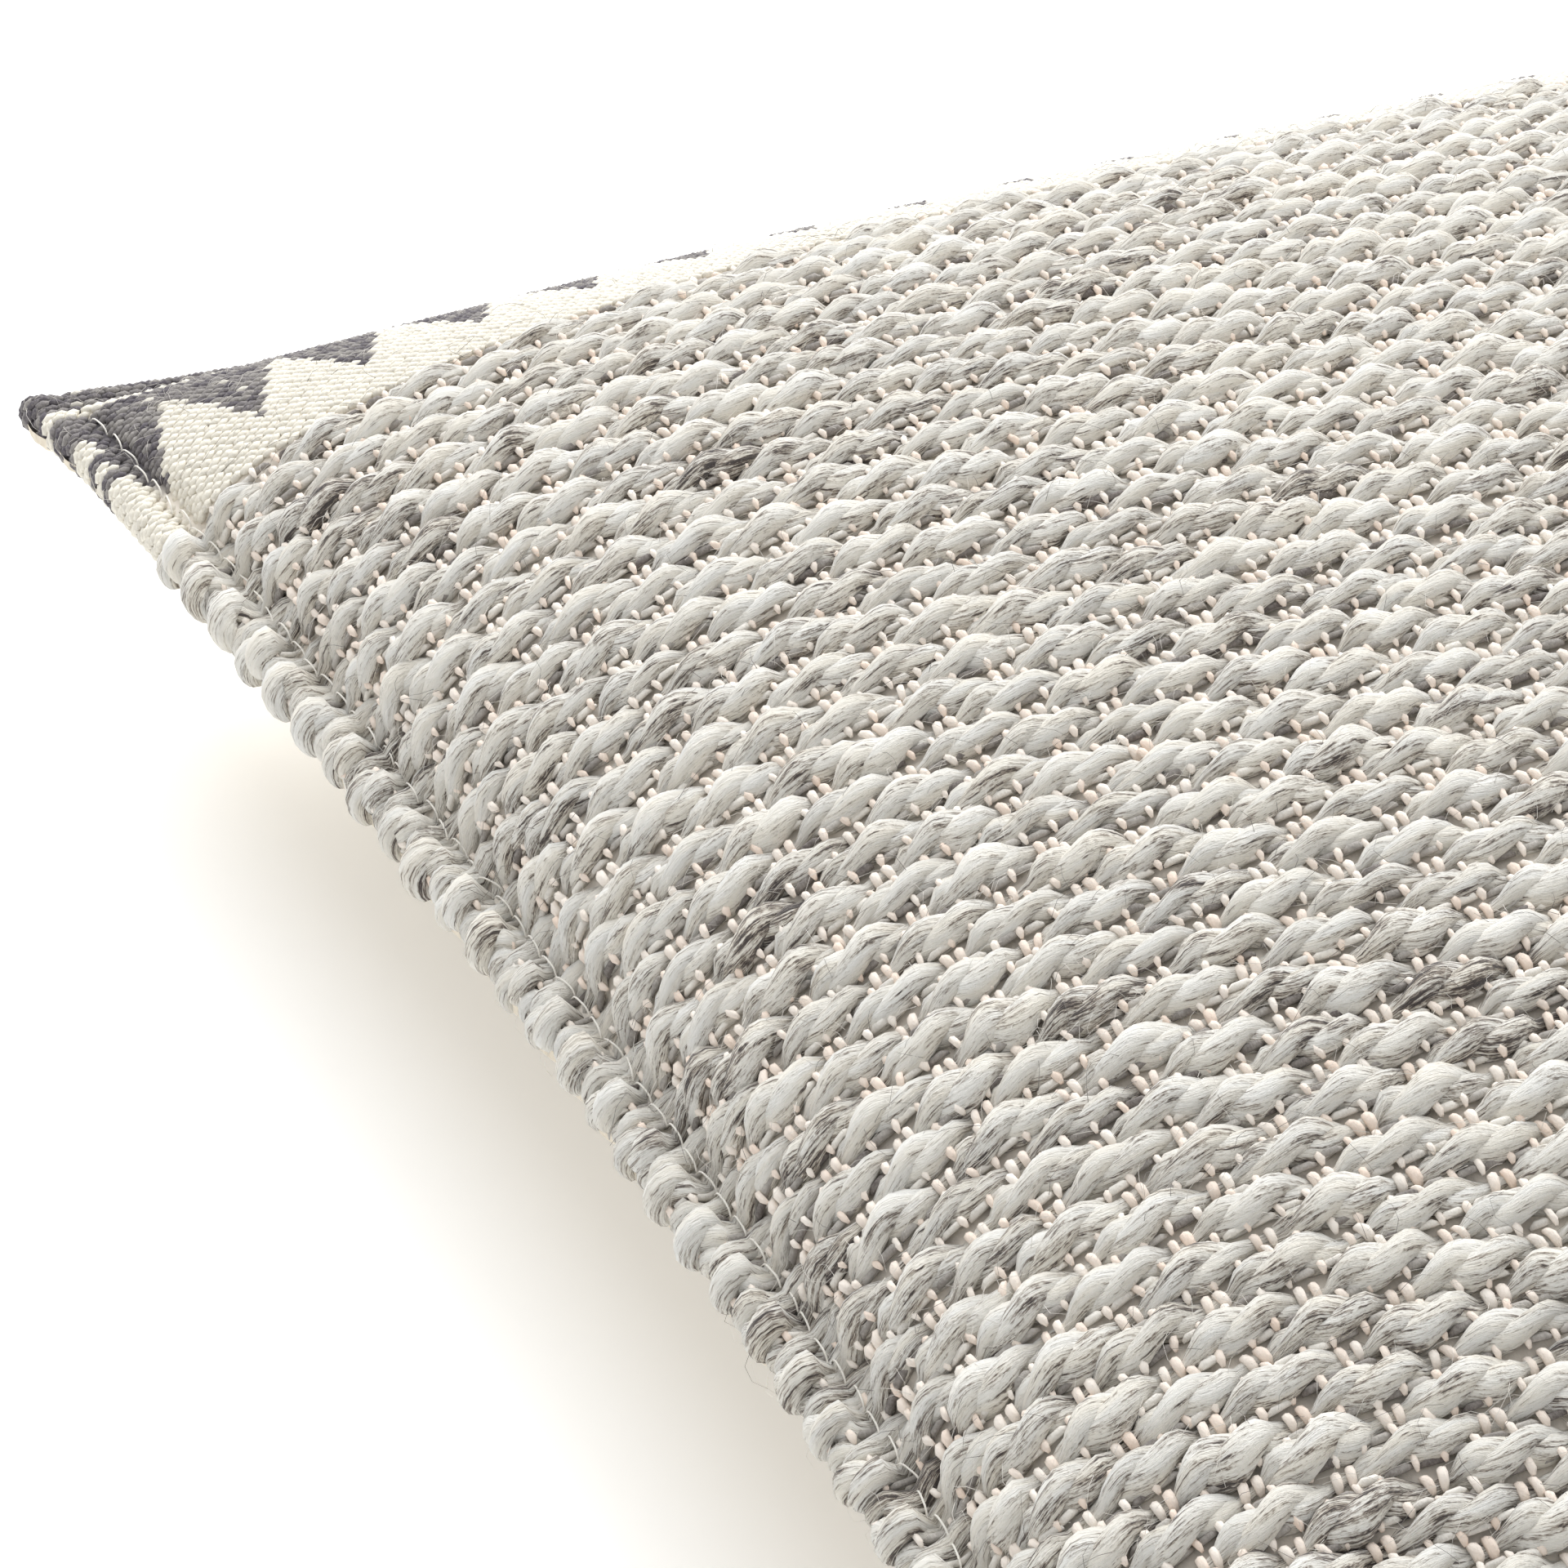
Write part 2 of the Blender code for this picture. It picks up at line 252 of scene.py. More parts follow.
def volumeOf(mesh):
    mesh.calc_loop_triangles()
    corners = np.empty(len(mesh.loop_triangles) * 3, np.int32)
    mesh.loop_triangles.foreach_get("vertices", corners)
    points = coordinates(mesh)[corners.reshape(-1, 3)]
    return float(np.einsum("ij,ij->i", points[:, 0], np.cross(points[:, 1], points[:, 2])).sum() / 6)


def intoScene(name, data):
    added = bpy.data.objects.new(name, data)
    bpy.context.scene.collection.objects.link(added)
    return added


def makePiece(name, mesh, material, body, nodes=(), smooth=True, closed=True):
    if closed and volumeOf(mesh) < 0:
        mesh.flip_normals()
    if smooth:
        mesh.shade_smooth()
    mesh.materials.clear()
    mesh.materials.append(material)
    piece = intoScene(name, mesh)
    mesh.name = name
    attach(piece, body)
    if nodes:
        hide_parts(*nodes)
    mesh.calc_loop_triangles()
    print(name, len(mesh.loop_triangles), "triangles")
    return piece


def swell(across):
    inside = np.clip(np.abs(across), 0.0, 1.0)
    return (1.0 - inside ** cover["swellWidth"]) ** cover["swellRound"]


def drawnIn(planX, planY):
    # the edges pull in between the corners, and the zip keeps its own edge straight
    half = cover["half"]
    s, t = planX / half, planY / half
    along = np.clip((1.0 - np.abs(s)) / cover["zipCorner"], 0.0, 1.0)
    pull = np.where(t < 0, along * along * (3.0 - 2.0 * along), 1.0 - s * s)
    x = planX * (1.0 - cover["pullIn"] * (1.0 - t * t))
    y = planY * (1.0 - cover["pullIn"] * pull)
    # the corner itself is a small rounded nub that stands out a little
    nubRound = cover["cornerRound"]
    intoX = np.clip((np.abs(planX) - (half - nubRound)) / nubRound, 0, 1)
    intoY = np.clip((np.abs(planY) - (half - nubRound)) / nubRound, 0, 1)
    cutX = intoX * (1 - np.sqrt(1 - intoY**2 / 2)) * nubRound
    cutY = intoY * (1 - np.sqrt(1 - intoX**2 / 2)) * nubRound
    nub = np.clip((np.abs(s * t) - cover["nubFrom"]) / cover["nubOver"], 0, 1) ** 1.5 * cover["cornerReach"]
    return x + np.sign(x) * (nub - cutX), y + np.sign(y) * (nub - cutY)


def sectionAt(share):
    # share from -1 to 1 of the whole section, turned-under edges included
    distance = share * sectionReach
    turned = np.maximum(0.0, np.abs(distance) - sectionStraight) / cover["roll"]
    flat = np.minimum(np.abs(distance), sectionStraight) + cover["roll"] * np.sin(turned)
    return np.sign(distance) * flat, cover["roll"] * np.cos(turned)


def sectionPoint(p, q):
    # place in plan, height of the rolled edge and share of the crown
    planX, rollX = sectionAt(p)
    planY, rollY = sectionAt(q)
    x, y = drawnIn(planX, planY)
    half = cover["half"]
    inner = half / (half - cover["stitchInset"])
    crown = swell(planX / half * inner) * swell(planY / half * inner)
    return x, y, np.minimum(rollX, rollY), crown


def facePoint(p, q):
    x, y, roll, crown = sectionPoint(p, q)
    z = cover["seamHeight"] + cover["gap"] / 2 + roll + cover["rise"] * crown
    return np.stack([x, y, z], axis=-1)


def backPoint(p, q):
    x, y, roll, crown = sectionPoint(p, q)
    z = cover["seamHeight"] - cover["gap"] / 2 - roll - cover["belly"] * crown
    return np.stack([x, y, np.maximum(z, 0.0)], axis=-1)


def unit(vectors):
    return vectors / (np.linalg.norm(vectors, axis=-1, keepdims=True) + 1e-12)


def sampleTable(table, a, b):
    # bilinear reading of a table over a and b, each from -1 to 1
    last = table.shape[0] - 1
    u = np.clip((np.asarray(a, float) + 1) / 2 * last, 0, last - 1e-6)
    v = np.clip((np.asarray(b, float) + 1) / 2 * last, 0, last - 1e-6)
    i, j = u.astype(int), v.astype(int)
    u, v = u - i, v - j
    if table.ndim == 3:
        u, v = u[..., None], v[..., None]
    low = table[i, j] * (1 - v) + table[i, j + 1] * v
    high = table[i + 1, j] * (1 - v) + table[i + 1, j + 1] * v
    return low * (1 - u) + high * u


def layCloth(pointAt):
    # reads the surface by length of cloth, so that the weave keeps its own scale
    size = cover["tableSize"]
    line = np.linspace(-1, 1, size)
    a, b = np.meshgrid(line, line, indexing="ij")
    grid = pointAt(a, b)
    stepX = np.linalg.norm(np.diff(grid, axis=0), axis=-1)
    stepY = np.linalg.norm(np.diff(grid, axis=1), axis=-1)
    lengthX = np.vstack([np.zeros(size), np.cumsum(stepX, axis=0)])
    lengthY = np.hstack([np.zeros((size, 1)), np.cumsum(stepY, axis=1)])
    wholeX, wholeY = lengthX[-1], lengthY[:, -1]
    shareX = 2 * lengthX / wholeX - 1
    shareY = 2 * lengthY / wholeY[:, None] - 1
    backX = np.stack([np.interp(line, shareX[:, j], line) for j in range(size)], axis=1)
    backY = np.stack([np.interp(line, shareY[i], line) for i in range(size)], axis=0)
    q = b
    for _ in range(cover["tablePasses"]):
        p = sampleTable(backX, a, q)
        q = sampleTable(backY, p, b)
    place = pointAt(p, q)
    alongX = np.gradient(place, axis=0)
    alongY = np.gradient(place, axis=1)
    normal = unit(np.cross(alongX, alongY))
    middle = size // 2
    table = np.concatenate([place, normal, unit(alongX), p[..., None], q[..., None]], axis=-1)
    return {
        "table": table,
        "widthX": float(wholeX[middle]),
        "widthY": float(wholeY[middle]),
        "shareX": shareX[:, middle],
        "shareY": shareY[middle],
        "line": line,
    }


def rollShare(cloth, radians, axis):
    # the cloth share, on the positive side, where the rolled edge has turned this far
    at = (sectionStraight + cover["roll"] * radians) / sectionReach
    return float(np.interp(at, cloth["line"], cloth["share" + axis]))


class Lay:
    # the cloth's place, outward and two in-plane directions at many points
    def __init__(self, cloth, a, b):
        read = sampleTable(cloth["table"], a, b)
        self.place = read[..., 0:3]
        self.out = unit(read[..., 3:6])
        along = read[..., 6:9]
        self.along = unit(along - self.out * (along * self.out).sum(-1, keepdims=True))
        self.across = np.cross(self.out, self.along)
        self.p = read[..., 9]
        self.q = read[..., 10]

    def at(self, along=0.0, across=0.0, out=0.0):
        pick = [np.asarray(v, float)[..., None] if np.ndim(v) else v for v in (along, across, out)]
        return self.place + self.along * pick[0] + self.across * pick[1] + self.out * pick[2]


face = layCloth(facePoint)
back = layCloth(backPoint)
perMetreA = 2 / face["widthX"]
perMetreB = 2 / face["widthY"]
# the cloth shares of the silhouette on the +X and +Y sides
edgeA = rollShare(face, math.pi / 2, "X")
edgeB = rollShare(face, math.pi / 2, "Y")
print("cover laid,", round(face["widthX"] * 1000), "by", round(face["widthY"] * 1000), "mm of cloth")


def stitchValley(lay, depth, width):
    # how far the cloth is drawn down beside the topstitching
    toSide = np.abs(np.abs(lay.p) - stitchShare) * sectionReach
    toEnd = np.abs(np.abs(lay.q) - stitchShare) * sectionReach
    near = np.minimum(toSide, toEnd)
    return -depth * np.exp(-((near / width) ** 2))


def knotted(positions, spacing, seedRows, low=0.0, high=1.0):
    # smooth random values along each of several yarns: one knot per spacing
    counts = int(np.ceil((positions.max() - positions.min()) / spacing)) + 3
    values = rng.uniform(low, high, (seedRows.max() + 1, counts))
    place = (positions - positions.min()) / spacing
    i = place.astype(int)
    f = place - i
    f = f * f * (3 - 2 * f)
    return values[seedRows, i] * (1 - f) + values[seedRows, i + 1] * f


def woolMaterial(name):
    # heathered wool: pale and dark fibres run along each strand; the tone attribute adds each lobe's own
    # tone and painted shade low in the weave and on the plies' lower flanks
    settings = {
        "locks": (2.0, 0.5, (0.11, 1.2, 1.2), 1.5),  # detail, roughness, stretch and strength
        "streaks": (3.0, 0.65, (0.13, 3.6, 3.6), 2.7),
        "hairs": (3.0, 0.65, (0.22, 11.0, 11.0), 2.4),
        "warmth": (2.0, 0.5, (0.05, 0.9, 0.9)),
        "relief": 1.4,
    }
    material = newMaterial(name, roughness=0.9, sheen=0.25)
    fibre = addNode(material, "ShaderNodeAttribute", attribute_name="fibre").outputs["Vector"]
    tone = addNode(material, "ShaderNodeAttribute", attribute_name="tone").outputs["Fac"]
    kinds = ("locks", "streaks", "hairs")
    noise = {kind: noiseNode(material, fibre, 1.0, *settings[kind][:3]) for kind in kinds}
    wide, thin, fine = (centred(material, noise[kind], settings[kind][3]) for kind in kinds)
    broad = mathNode(material, "ADD", tone, wide)
    value = mathNode(material, "ADD", broad, mathNode(material, "ADD", thin, fine))
    stops = [
        (0.00, colour(241, 240, 235)),
        (0.32, colour(233, 231, 225)),
        (0.48, colour(206, 203, 197)),
        (0.64, colour(176, 168, 158)),
        (0.82, colour(122, 113, 106)),
        (1.00, colour(76, 70, 69)),
    ]
    warmth = noiseNode(material, fibre, 1.0, *settings["warmth"])
    tint = rampNode(material, warmth, [(0.34, (1.0, 1.0, 1.0, 1.0)), (0.66, colour(255, 251, 244))])
    tinted = addNode(material, "ShaderNodeVectorMath", operation="MULTIPLY")
    link(material, rampNode(material, value, stops), tinted.inputs[0])
    link(material, tint, tinted.inputs[1])
    link(material, tinted.outputs[0], shaderOf(material).inputs["Base Color"])
    strongStreaks = mathNode(material, "MULTIPLY", noise["streaks"], settings["relief"])
    bumpFrom(material, mathNode(material, "ADD", noise["hairs"], strongStreaks), 0.8, 0.0006)
    return material


def threadMaterial(name, pale, dark, grain=3000.0):
    # short-fibred yarn whose tone attribute goes from pale to dark
    material = newMaterial(name, roughness=0.9, sheen=0.15)
    place = objectPlace(material)
    tone = addNode(material, "ShaderNodeAttribute", attribute_name="tone").outputs["Fac"]
    fuzz = noiseNode(material, place, grain, 3.0, 0.6, (1, 0.45, 0.7))
    fleck = noiseNode(material, place, grain * 0.35, 2.0, 0.6)
    spread = centred(material, fuzz, 0.35)
    blot = centred(material, fleck, 0.30)
    value = mathNode(material, "ADD", tone, mathNode(material, "ADD", spread, blot))
    middle = tuple((a + b) / 2 for a, b in zip(pale, dark))
    paint(material, value, [(0.0, pale), (0.5, middle), (1.0, dark)])
    bumpFrom(material, fuzz, 0.5, 0.0004)
    return material


woolYarn = woolMaterial("heatheredWool")
flatYarn = threadMaterial("flatWovenWool", colour(242, 237, 224), colour(88, 83, 90))
warpYarn = threadMaterial("beigeWarp", colour(251, 244, 235), colour(243, 222, 205))
weftYarn = threadMaterial("thinWeft", colour(244, 240, 232), colour(104, 97, 94))
groundCloth = threadMaterial("weaveGround", colour(244, 237, 226), colour(96, 92, 96), 900.0)
stitchThread = threadMaterial("whiteThread", colour(250, 247, 240), colour(225, 219, 206), 4000.0)

band = {
    "width": 0.072,  # from the back edge, over the cloth
    "valley": 0.0245,
    "apex": 0.0550,
    "period": 0.0248,
    "firstApex": 0.0125,
    "pinStart": 0.0136,
    "pinEnd": 0.0170,
    "leftRoll": 0.0078,
    "rightRoll": 0.975,  # share of the width
    "rollValley": 0.0270,
    "stripesStart": 0.031,
    "stripesEnd": 0.048,
    "stripePeriod": 0.0068,
}
slot = {
    "halfLength": 0.178,
    "fade": 0.010,
    "lip": 0.62,  # how far the cloth turns before it stops, in radians
    "beyond": 0.002,
    "clearance": 0.0034,
    "rear": -0.2262,
}


def fromBackEdge(b):
    return (edgeB - b) / perMetreB


def fromLeftEdge(a):
    return (a + edgeA) / perMetreA


def charcoalAt(fromLeft, fromBack):
    # 1 where the flat-woven border is charcoal, 0 where it is cream
    wave = (fromLeft - band["firstApex"]) / band["period"]
    tooth = 1 - 2 * np.abs(wave - np.round(wave))
    depth = band["valley"] + (band["apex"] - band["valley"]) * tooth
    dark = fromBack < depth
    onRoll = (fromLeft < band["leftRoll"]) | (fromLeft > face["widthX"] * band["rightRoll"])
    inStripes = (fromBack > band["stripesStart"]) & (fromBack < band["stripesEnd"])
    stripes = inStripes & (np.sin(fromBack / band["stripePeriod"] * 2 * np.pi) > 0.0)
    dark = np.where(onRoll, (fromBack < band["rollValley"]) | stripes, dark)
    pin = (fromBack > band["pinStart"]) & (fromBack < band["pinEnd"])
    return (dark & ~pin).astype(float)


def lipShare(a, b):
    # along the zip the cloth stops at a folded lip instead of turning under
    rollTop = -rollShare(face, 0.0, "Y")
    lip = -rollShare(face, slot["lip"], "Y")
    x = sampleTable(face["table"], a, np.full_like(a, rollTop))[..., 0]
    opening = np.clip((slot["halfLength"] + slot["fade"] - np.abs(x)) / slot["fade"], 0, 1)
    keep = 1 - opening * (1 - (rollTop - lip) / (rollTop + 1))
    return np.where(b < rollTop, rollTop + (b - rollTop) * keep, b)


def clearOfZip(points):
    # nothing of the face hangs into the zip's opening
    alongZip = np.abs(points[..., 0]) < slot["halfLength"] + slot["beyond"]
    inOpening = alongZip & (points[..., 1] < slot["rear"])
    lowest = cover["seamHeight"] + slot["clearance"]
    points[..., 2] = np.where(inOpening, np.maximum(points[..., 2], lowest), points[..., 2])
    return points


def facePiece(name, mesh, material, closed=True):
    return makePiece(name, mesh, material, "cushion", ["front_panel"], closed=closed)


def makeFaceCloth():
    settings = {
        "across": 260,
        "under": 0.0028,  # how far the ground lies under the surface, below the wool
        "underBand": 0.0011,
        "bandEdge": 0.003,
        "cornerFold": 1.966,
        "valley": (0.0008, 0.002),
        "groundTone": 0.10,
    }
    mesh = meshFrom(gridOf(settings["across"]), "faceCloth")
    points = coordinates(mesh)
    a, b = points[:, 0], points[:, 1]
    tucked = np.maximum(np.abs(a) + np.abs(b) - settings["cornerFold"], 0) / 2
    a = a - np.sign(a) * tucked
    b = lipShare(a, b - np.sign(b) * tucked)
    lay = Lay(face, a, b)
    fromBack = fromBackEdge(b)
    inBand = np.clip((band["width"] + 0.001 - fromBack) / settings["bandEdge"], 0, 1)
    under = settings["under"] * (1 - inBand) + settings["underBand"] * inBand
    moveTo(mesh, clearOfZip(lay.at(out=-under + stitchValley(lay, *settings["valley"]))))
    dark = charcoalAt(fromLeftEdge(a), fromBack) * inBand + settings["groundTone"] * (1 - inBand)
    giveValue(mesh, "tone", dark)
    return facePiece("faceCloth", mesh, groundCloth, closed=False)


faceCloth = makeFaceCloth()

wool = {
    "pitch": 0.0068,  # from row to row
    "repeat": 0.0250,  # from float to float along a row
    "over": 0.76,  # share of the repeat that lies on top
    "twist": 0.0238,  # one full turn of the two plies
    "strand": 0.00232,
    "spread": 0.00138,
    "flatten": 1.20,  # sideways against upwards
    "top": -0.0008,
    "dip": -0.0031,
    "valley": (0.0016, 0.0032),
    "tail": 0.0040,  # a row's ends thin and sink over this length
    "tailSink": 0.0012,
    "rollStart": 0.003,
    "rollArch": 0.92,
    "rollSize": 0.16,  # on the rolled edge rows are thicker and thinner by turns
    "rollRise": (0.0003, -0.0009),
    "knots": 0.0085,  # between thick and thin places of a ply
    "slack": 0.0006,
    "fibreLean": 0.055,  # the fibres go round a ply once in this length
    "sides": 8,
    "perRepeat": 12,
    "rowsPerPiece": 17,
}
most = {"rows": 400, "floats": 64, "strands": 900}

bandEndB = edgeB - band["width"] * perMetreB
rollTopB = -rollShare(face, 0.0, "Y")
rowsLength = (bandEndB - rollTopB) / perMetreB
rowCount = int(round(rowsLength / wool["pitch"]))
rowStep = rowsLength / (rowCount - 0.15)
rowB = bandEndB - (np.arange(rowCount) + 0.55) * rowStep * perMetreB
repeatCount = round(2 * edgeA / perMetreA / wool["repeat"])
print(rowCount, "wool rows,", repeatCount, "floats in each")


def rowHalf(row):
    # neighbouring rows are half a float apart
    return 0.5 * (row % 2)


lobes = (most["rows"], most["floats"])
rowDrift = rng.normal(0, 0.03, most["rows"])
lobeSize = rng.normal(1.0, 0.085, lobes)
lobeTone = rng.beta(1.6, 3.4, lobes)
lobeStart = rng.normal(0, 0.02, lobes)
darkLobes = rng.random(lobes) < 0.045
lobeTone = np.where(darkLobes, rng.uniform(0.62, 0.85, lobes), lobeTone * 0.62)


def floatPhase(row, metres):
    place = metres / wool["repeat"] + rowHalf(row) + rowDrift[row] + 20
    number = np.floor(place).astype(int)
    phase = place - number + lobeStart[row, number % most["floats"]]
    return phase, number % most["floats"]


def layStrands(name, rows, sharesB, fromA, toA, squash):
    # two twisted plies for each row, as closed tubes over the cloth
    count = len(rows)
    lengthMetres = float(np.max(toA - fromA)) / perMetreA
    cuts = int(lengthMetres / wool["repeat"] * wool["perRepeat"])
    mesh, z, angle, which = tubes(name, count * 2, wool["sides"], cuts)
    index, ply = which // 2, which % 2
    row = rows[index]
    strandKey = row * 2 + ply
    byTurns = row % 2 == 0
    part = 2 * z
    part = 1.04 * part - 0.04 * part**17  # closer together where the yarn goes round the edge
    a = fromA[index] + (toA - fromA)[index] * (part + 1) / 2
    metres = a / perMetreA
    phase, number = floatPhase(row, metres)
    share = np.clip(phase / wool["over"], 0, 1)
    arch = np.where(phase > 0, np.sin(np.pi * share) ** 0.5, 0.0)
    lay = Lay(face, a, sharesB[index])
    onRoll = np.clip((np.abs(lay.p) - stitchShare) * sectionReach / wool["rollStart"], 0, 1)
    arch = np.maximum(arch, onRoll * wool["rollArch"])
    fromEnd = np.minimum(a - fromA[index], toA[index] - a) / perMetreA
    tail = np.sqrt(np.clip(fromEnd / wool["tail"], 0, 1))
    size = 1 + (lobeSize[row, number] - 1) * arch
    small = squash[index] * (1 + onRoll * np.where(byTurns, wool["rollSize"], -wool["rollSize"]))
    swellOf = knotted(metres, wool["knots"], strandKey, 0.80, 1.16) * (0.30 + 0.70 * tail)
    radius = wool["strand"] * (0.56 + 0.44 * arch) * size * swellOf * small
    spread = wool["spread"] * (0.50 + 0.50 * arch) * size * small
    slack = knotted(metres, 0.03, row, -wool["slack"], wool["slack"])
    rowTwist = rng.uniform(0, 2 * np.pi, most["rows"])
    twistPhase = knotted(metres, 0.05, row, -0.5, 0.5)
    turn = -2 * np.pi * metres / wool["twist"] + rowTwist[row] + ply * np.pi + twistPhase
    lay = Lay(face, a, sharesB[index] + slack * perMetreB)
    middle = wool["dip"] + (wool["top"] - wool["dip"]) * arch
    middle = middle + stitchValley(lay, *wool["valley"]) - wool["tailSink"] * (1 - tail)
    middle = middle + onRoll * np.where(byTurns, *wool["rollRise"])
    outOf = middle + spread * np.sin(turn) * 0.85 + radius * np.sin(angle)
    aside = (spread * np.cos(turn) + radius * np.cos(angle)) * (1 + (wool["flatten"] - 1) * arch)
    moveTo(mesh, clearOfZip(lay.at(across=aside, out=outOf)))

    # the fibres' own coordinates, and how dark each place is: the lobe's own tone and locks, plus painted
    # shade low in the weave and on each ply's lower flank
    seed = rng.uniform(-90, 90, most["strands"])[strandKey]
    lean = angle - metres * 2 * np.pi / wool["fibreLean"]
    fibre = [metres * 1000 + seed * 40, np.cos(lean) + seed, np.sin(lean) + seed * 0.7]
    giveVector(mesh, "fibre", np.stack(fibre, axis=1))
    lock = knotted(metres, 0.009, strandKey, -0.12, 0.20)
    # painted shade: the tone darkens where the ply lies low, deep between the rows
    low = np.clip(-outOf / 0.0045, 0, 1)
    side = np.clip(0.35 - np.sin(angle + 0.55), 0, 1)  # painted shade on the lower flank of each ply
    giveValue(mesh, "tone", lobeTone[row, number] * 0.74 + lock + 0.12 * low + 0.12 * side - 0.02)
    return facePiece(name, mesh, woolYarn)


def makeWoolRows():
    made = []
    for start in range(0, rowCount, wool["rowsPerPiece"]):
        rows = np.arange(start, min(rowCount, start + wool["rowsPerPiece"]))
        ends = np.where(rows > rowCount - 3, 0.990, 0.997)
        squash = np.where(rows == rowCount - 1, 0.66, np.where(rows == rowCount - 2, 0.85, 1.0))
        name = f"woolRows{start // wool['rowsPerPiece'] + 1}"
        made.append(layStrands(name, rows, rowB[rows], -ends, ends, squash))
    return made


def makeCornerRows():
    # past the zip's ends the cloth turns under, and so do its last rows
    settings = {"step": 0.0046, "clear": 0.006, "outer": 0.988, "tuck": 0.003, "squash": 0.72}
    inner = (slot["halfLength"] + settings["clear"]) * perMetreA * 0.965 + 0.02
    rows, places, starts, ends = [], [], [], []
    for extra in (1, 2):
        outer = settings["outer"] - settings["tuck"] * extra
        for start, end in ((-outer, -inner), (inner, outer)):
            rows.append(rowCount - 1 + extra)
            places.append(rowB[-1] - extra * settings["step"] * perMetreB)
            starts.append(start)
            ends.append(end)
    squash = np.full(len(rows), settings["squash"])
    return layStrands("cornerRows", *map(np.array, (rows, places, starts, ends)), squash)


woolRows = makeWoolRows()
cornerRows = makeCornerRows()


lines = {
    "spacing": 0.0052,  # between two stitches of one kind
    "jitter": 0.0004,
    "wander": 0.00025,
    "grey": 0.50,  # share of lines whose wefts are mostly grey
    "mixed": 0.16,  # share of stitches of the other shade in a line
}
stitch = {
    "uneven": 0.0002,
    "blunt": 0.6,
    "round": 1.34,
    "tilt": 0.13,
    "valley": (0.0010, 0.0028),
}
thinWeft = {
    "length": 0.0044,
    "lengths": (0.85, 1.2),  # from the shortest to the longest, as shares
    "radius": 0.00066,
    "radii": (0.85, 1.15),
    "height": -0.0009,
    "bend": 0.0007,
    "crosswise": False,
    "sides": 5,
    "cuts": 2,
}
warpStitch = {
    "length": 0.0029,
    "lengths": (0.8, 1.25),
    "radius": 0.00060,
    "radii": (0.85, 1.2),
    "height": -0.0004,
    "bend": 0.0007,
    "crosswise": True,
    "sides": 5,
    "cuts": 2,
}
tieDown = {
    "length": 0.0040,
    "lengths": (0.9, 1.1),
    "radius": 0.00078,
    "radii": (0.85, 1.15),
    "height": -0.0011,
    "bend": 0.0012,
    "crosswise": True,
    "sides": 6,
    "cuts": 3,
}


def placeStitches(name, a, b, tone, kind, material):
    # short bent stitches; crosswise ones run over the weft
    many = len(a)
    length = kind["length"] * rng.uniform(*kind["lengths"], many)
    radius = kind["radius"] * rng.uniform(*kind["radii"], many)
    height = kind["height"] + rng.normal(0, stitch["uneven"], many)
    mesh, z, angle, which = tubes(name, many, kind["sides"], kind["cuts"])
    part = np.sign(z) * np.abs(z * 2) ** stitch["blunt"]
    shift = part * length[which] / 2
    tilt = rng.normal(0, stitch["tilt"], many)[which]
    run, side = (tilt * shift, shift) if kind["crosswise"] else (shift, tilt * 0.5 * shift)
    lay = Lay(face, a[which] + run * perMetreA, b[which] + side * perMetreB)
    thick = radius[which] * np.sqrt(stitch["round"] - part**4)
    outOf = height[which] - kind["bend"] * part * part + thick * np.sin(angle)
    outOf = outOf + stitchValley(lay, *stitch["valley"])
    wide = thick * np.cos(angle)
    along, across = (-wide, 0.0) if kind["crosswise"] else (0.0, wide)
    moveTo(mesh, clearOfZip(lay.at(along=along, across=across, out=outOf)))
    giveValue(mesh, "tone", tone[which])
    return facePiece(name, mesh, material)


def makeRowLines():
    # thin wefts and short warps between the wool rows, and behind the first
    lineB = np.concatenate([[rowB[0] + rowStep * perMetreB * 0.5], (rowB[:-1] + rowB[1:]) / 2])
    perLine = int(2 * edgeA / perMetreA / lines["spacing"]) + 2
    spot = (np.arange(perLine) - (perLine - 1) / 2) * lines["spacing"] * perMetreA
    greyLine = rng.random(rowCount) < lines["grey"]
    wefts, warps = [], []
    for line in range(rowCount):
        jitter = rng.normal(0, lines["jitter"] * perMetreA, (2, perLine))
        wander = rng.normal(0, lines["wander"] * perMetreB, (2, perLine))
        isGrey = greyLine[line] ^ (rng.random(perLine) < lines["mixed"])
        tone = np.where(isGrey, rng.uniform(0.45, 0.95, perLine), rng.uniform(0.0, 0.3, perLine))
        wefts.append((spot + jitter[0], lineB[line] + wander[0], tone))
        between = spot + lines["spacing"] / 2 * perMetreA + jitter[1]
        warps.append((between, lineB[line] + wander[1], rng.beta(1.5, 2.5, perLine)))
    wefts, warps = np.concatenate(wefts, axis=1), np.concatenate(warps, axis=1)
    made = []
    for number, half in enumerate(np.array_split(np.arange(wefts.shape[1]), 2), start=1):
        made.append(placeStitches(f"thinWefts{number}", *wefts[:, half], thinWeft, weftYarn))
        made.append(placeStitches(f"warpStitches{number}", *warps[:, half], warpStitch, warpYarn))
    return made


def makeTieDowns():
    # the warps that hold each thick row down between its floats
    places = []
    for row in range(rowCount):
        for number in range(-repeatCount, repeatCount):
            for step in (0.30, 0.72):
                phase = wool["over"] + (1 - wool["over"]) * step
                metres = (number + phase - rowHalf(row) - rowDrift[row]) * wool["repeat"]
                if abs(metres * perMetreA) < 0.99:
                    places.append((metres * perMetreA, rowB[row], rng.beta(1.5, 2.5) * 0.9))
    return placeStitches("tieDowns", *np.array(places).T, tieDown, warpYarn)


rowLines = makeRowLines()
tieDowns = makeTieDowns()


